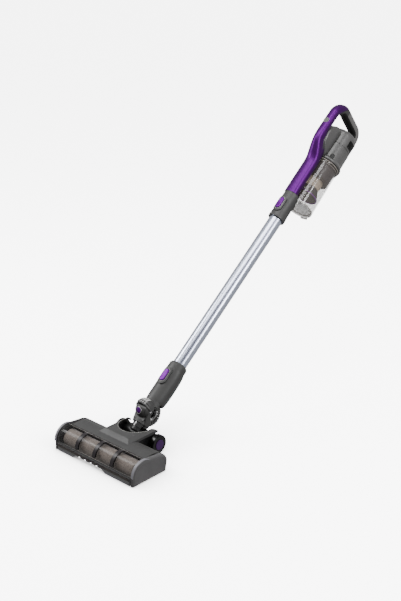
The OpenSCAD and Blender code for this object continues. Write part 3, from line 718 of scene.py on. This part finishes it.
def at_pivot(x, angle, radius):
    """Point round the elbow's pivot: 0 degrees is behind the wand, 90 along it."""
    a = math.radians(angle)
    return wand(x, FOLD_S + radius * math.sin(a), FOLD_T + radius * math.cos(a))


def build_fold_key():
    """The round key in the dome, with the silver ring round it."""
    axis = math.radians(218)

    def on_key(radius, a, out):
        along, off = radius * math.cos(a), radius * math.sin(a)
        return wand(off, FOLD_S + out * math.sin(axis) + along * math.cos(axis),
                    FOLD_T + out * math.cos(axis) - along * math.sin(axis))

    turns = circle(56)
    sweep("fold_rim", "elbow", "silver", [on_key(7.9, a, 19.35) for a in turns], 0.6)
    rings = [[on_key(r, a, out) for a in turns]
             for r, out in ((6.4, 17.6), (7.2, 18.8), (7.2, 19.6), (6.6, 20.1), (4.5, 20.6),
                            (0.3, 20.9))]
    loft("fold_key_top", "fold_key", "button_purple", rings, replaces=["fold_button"])


def build_slot_highlights():
    """A bright bead round each of the four slots, sunk a little towards its front end: a painted
    highlight along the slot edges.
    """
    half = 1.15
    for number, x in enumerate((-9, -3, 3, 9)):
        path = []
        for side, angle in ((-half, 119), (-half, 130), (-half, 140), (-half, 150), (-half, 158),
                            (0, 161), (half, 158), (half, 150), (half, 140), (half, 130),
                            (half, 119), (0, 116)):
            radius = 26.7 - 2.2 * max(0, (angle - 149) / 9)
            path.append(at_pivot(x + side, angle, math.sqrt(radius ** 2 - (x + side) * (x + side))))
        sweep("slot_rim_%d" % number, "arm", "painted_slot_highlight", path, 0.6, sides=8)


def build_dome():
    """Bulged cover over the pivot, proud of the arm's dome and faded into it at every edge."""
    rows = []
    for angle in range(DOME_LOW, DOME_HIGH + 1, 3):
        edge = min(1.0, (angle - DOME_LOW) / 14, (DOME_HIGH - angle) / 5)
        row = []
        for k in range(49):
            x = -DOME_HALF + 2 * DOME_HALF * k / 48
            r = DOME_R + DOME_BULGE * max(0.0, edge) ** 0.6 * (1 - (x / 24.2) ** 4)
            row.append(at_pivot(x, angle, math.sqrt(max(0.5, r * r - x * x))))
        rows.append(row)
    loft("dome_skin", "arm", "graphite", rows, around=False, ends=False)


def build_sleeve():
    """A fuller skin round the arm's sleeve, most of it behind. Rings of (along, radius, behind)."""
    rings = []
    for s, r, t in ((81, 22.4, 0.4), (81.6, 23.6, 0.6), (84, 24.2, 1.1), (94, 24.8, 1.7),
                    (110, 25.2, 2.2), (140, 25.2, 2.2), (156, 24.8, 1.7), (166, 24.2, 0.9),
                    (170, 23.6, 0.3)):
        rings.append([wand(r * math.cos(a), s, t + r * math.sin(a)) for a in circle(72)])
    loft("sleeve_skin", "arm", "graphite", rings, ends=False)


def build_hose():
    """The corrugated hose, which bows behind the pivot."""
    rings = []
    steps = HOSE_RIBS * 10
    for i in range(steps + 1):
        u = i / steps
        s, t = HOSE_FOOT + u * HOSE_RUN, HOSE_T + HOSE_BOW * math.sin(math.pi * u)
        slope = math.atan2(HOSE_BOW * math.pi * math.cos(math.pi * u), HOSE_RUN)
        slope *= min(1, 5 * u, 5 - 5 * u)     # flat at both ends
        r = 12.7 + 1.9 * abs(math.sin(math.pi * HOSE_RIBS * u)) ** 0.6
        rings.append([wand(r * math.cos(a), s - r * math.sin(a) * math.sin(slope),
                           t + r * math.sin(a) * math.cos(slope)) for a in circle(64)])
    points = [p for ring in rings for p in ring]
    mesh = bpy.data.meshes.new("hose_skin")
    mesh.from_pydata([p * MM for p in points], [], strip_faces(len(rings), 64, True, False))
    mesh.shade_smooth()
    hose = bpy.data.objects.new("hose_skin", mesh)
    bpy.context.collection.objects.link(hose)
    mesh.materials.append(SKINS["hose"])
    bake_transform(hose)
    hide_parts("elbow_hose")


build_fold_key()
build_slot_highlights()
build_dome()
build_sleeve()
build_hose()

# ---------- bin and motor case ----------

BIN_T = 45.0           # the bin's axis, behind the wand's
LATCH_S, LATCH_HALF, CASE_R = 864, (6.9, 5.9), 39.4
LATCH_TURN = math.radians(-48)
VENT_S, VENT_R, VENT_HALF, VENT_STEP = 923, 36, 12, 1.5


def bin_ring(name, body, skin, s, radius, thick):
    ring_on_wand(name, body, skin, s, radius, thick, BIN_T)


bin_ring("bin_rim_low", "bin", "pale", 841.0, 38.2, 0.55)
bin_ring("bin_rim_high", "bin", "pale", 846.9, 39.3, 1.2)
bin_ring("skirt_ring", "bin", "ring_purple", 749.2, 31.2, 1.7)
bin_ring("skirt_lip", "bin", "ring_purple", 771.6, 21.6, 0.5)
bin_ring("shroud_foot", "bin", "dark", 800.6, 33.2, 0.7)
bin_ring("shroud_band", "bin", "shroud_dark", 838.0, 33.7, 0.6)
bin_ring("case_line", "handset", "case", 850.4, 41.4, 0.5)


def build_latch_rim():
    wide, tall = LATCH_HALF
    corners = ((-wide, -tall), (wide, -tall), (wide, tall), (-wide, tall))
    path = []
    for (y0, s0), (y1, s1) in zip(corners, corners[1:] + corners[:1]):
        for k in range(1, 8):
            y, s = y0 + (y1 - y0) * k / 8, s0 + (s1 - s0) * k / 8
            out = math.sqrt(CASE_R ** 2 - y * y)
            path.append(wand(out * math.cos(LATCH_TURN) - y * math.sin(LATCH_TURN), LATCH_S + s,
                             BIN_T + out * math.sin(LATCH_TURN) + y * math.cos(LATCH_TURN)))
    sweep("latch_rim", "handset", "rim", path, 0.55)


build_latch_rim()


def build_vent():
    """Fine crossed wires behind the vent's bars, one patch on each side."""
    for side, name in ((1, "vent_right"), (-1, "vent_left")):
        points, faces = [], []

        def wire(path):
            start = len(points)
            for s, a in path:
                for r, ds in ((36.2, -0.28), (36.2, 0.28), (35.7, 0.0)):
                    points.append(wand(side * r * math.cos(a), s + ds, BIN_T + r * math.sin(a)))
            for i in range(len(path) - 1):
                for j in range(3):
                    p, q = start + 3 * i + j, start + 3 * i + (j + 1) % 3
                    faces.append((p, q, q + 3, p + 3))

        for k in range(-15, 16):
            for lean in (-1, 1):
                path = []
                for i in range(13):
                    u = -1 + i / 6
                    a = (k * VENT_STEP + lean * VENT_HALF * u) / VENT_R
                    if abs(a * VENT_R) <= 11.2:
                        path.append((VENT_S + VENT_HALF * u, a))
                if len(path) > 1:
                    wire(path)
        piece(name, "handset", "dark", points, faces, flat=True)


build_vent()

# ---------- floor head ----------


ROLL_Y, ROLL_Z = -31, 22          # the brush roll's axis
LINE_HALF = 122
BAR_MIDDLES = (-57.5, 0, 57.5)
LED_X, LED_PITCH, LED_Y, LED_Z = -44, 19, -64.6, 10.6
HUMP_TOP, RECESS_Y, RECESS_R = 57, 71, 40.2


def head_point(x, angle, radius):
    """Point round the brush roll's axis: 90 degrees is above it, 180 in front."""
    a = math.radians(angle)
    return Vector((x, ROLL_Y + radius * math.cos(a), ROLL_Z + radius * math.sin(a)))


def across_head(angle, radius):
    return [head_point(x, angle, radius) for x in range(-LINE_HALF, LINE_HALF + 1, 4)]


def build_bands():
    """Lighter curved bands over the round front of each end cap."""
    for side, name in ((-1, "band_left"), (1, "band_right")):
        rings = []
        for angle in list(range(58, 180, 4)) + [180]:
            ring = []
            for x, lift in ((123.1, -0.4), (123.3, 0.15), (124.2, 0.35),
                            (128.0, 0.35), (129.4, 0.1), (130.0, -0.8)):
                ring.append(head_point(side * x, angle, 33.4 + lift))
            rings.append(ring)
        loft(name, "head", "band", rings, around=False, ends=False)


def cap_ring(x, inset):
    """The side profile of an end cap, moved in by inset, at x."""
    ring = [(-65 + inset, 0.6 + 0.3 * inset), (40 - inset, 0.6 + 0.3 * inset)]
    for a in range(0, 91, 6):
        ring.append((10 + (35 - inset) * math.cos(math.radians(a)),
                     24 + (26.5 - inset) * math.sin(math.radians(a))))
    for a in range(80, 177, 6):
        ring.append((ROLL_Y + (33.5 - inset) * math.cos(math.radians(a)),
                     ROLL_Z + (33.5 - inset) * math.sin(math.radians(a))))
    return [Vector((x, y, z)) for y, z in ring]


def build_caps():
    """End caps with a rounded outer edge and a slightly sunk side panel."""
    for side, name, node in ((-1, "cap_left", "end_cap_left"), (1, "cap_right", "end_cap_right")):
        rings = [cap_ring(side * x, inset) for x, inset in
                 ((123, 0), (125, 0.15), (126.8, 0.7), (128, 1.6), (129, 3.0), (129.6, 4.8),
                  (129.9, 6.6), (129.9, 8.6), (129.5, 9.2), (129.4, 10.0))]
        loft(name, "head", "cap_grey", rings, replaces=[node])


def build_ribs():
    """Dark bars across the clear window, on its outside."""
    for number, middle in enumerate(BAR_MIDDLES):
        rings = []
        for angle in range(72, 177, 4):
            rings.append([head_point(middle + x, angle, 30.75 + lift)
                          for x, lift in ((-5.2, 0.0), (-4.8, 0.3), (4.8, 0.3), (5.2, 0.0))])
        loft("window_bar_%d" % number, "head", "bar", rings, around=False, ends=False)


def build_leds():
    """A small lit dome on each of the four front lights."""
    for number in range(4):
        x = LED_X + LED_PITCH * number
        rings = [[Vector((x + r * math.cos(a), LED_Y - out, LED_Z + r * math.sin(a)))
                  for a in circle(24)]
                 for r, out in ((1.5, 0.0), (1.45, 0.45), (1.0, 0.75), (0.5, 0.9), (0.05, 0.95))]
        loft("led_dome_%d" % number, "head", "led", rings)


def build_head_lines():
    """Beads along the sill, the light lens and the window's frame."""
    for name, y, z, thick in (("sill_line", -61.9, 21.0, 0.9), ("lens_top", -65.0, 18.3, 0.6),
                              ("lens_foot", -65.2, 12.5, 0.7)):
        path = [Vector((x, y, z)) for x in range(-LINE_HALF, LINE_HALF + 1, 4)]
        sweep(name, "head", "dark", path, thick, closed=False)
    sweep("window_head", "head", "dark", across_head(69.6, 30.9), 0.9, closed=False)
    sweep("window_line", "head", "bronze", across_head(79.0, 31.0), 0.55, closed=False)
    for side, name in ((-1, "window_end_left"), (1, "window_end_right")):
        path = [head_point(side * 122.3, a, 31.0) for a in range(70, 179, 6)]
        sweep(name, "head", "dark", path, 0.9, closed=False)


def build_recess_highlight():
    """A pale bead round the recess behind the hump, at the height of the sloped top there: a painted
    highlight along the recess's edge.
    """
    def top(x, y):
        z = HUMP_TOP if abs(x) <= 37 else HUMP_TOP - (abs(x) - 37) * 6.5 / 11
        return z if y <= 80 else min(z, HUMP_TOP - (y - 80) * 8.5 / 16)

    path = [(-RECESS_R, y) for y in (94, 88, 82, 76)]
    path += [(RECESS_R * math.cos(math.radians(a)), RECESS_Y + RECESS_R * math.sin(math.radians(a)))
             for a in range(180, 361, 5)]
    path += [(RECESS_R, y) for y in (76, 82, 88, 94)]
    sweep("recess_highlight", "head", "rim", [Vector((x, y, top(x, y))) for x, y in path], 0.6, closed=False)


build_bands()
build_caps()
build_ribs()
build_leds()
build_head_lines()
build_recess_highlight()
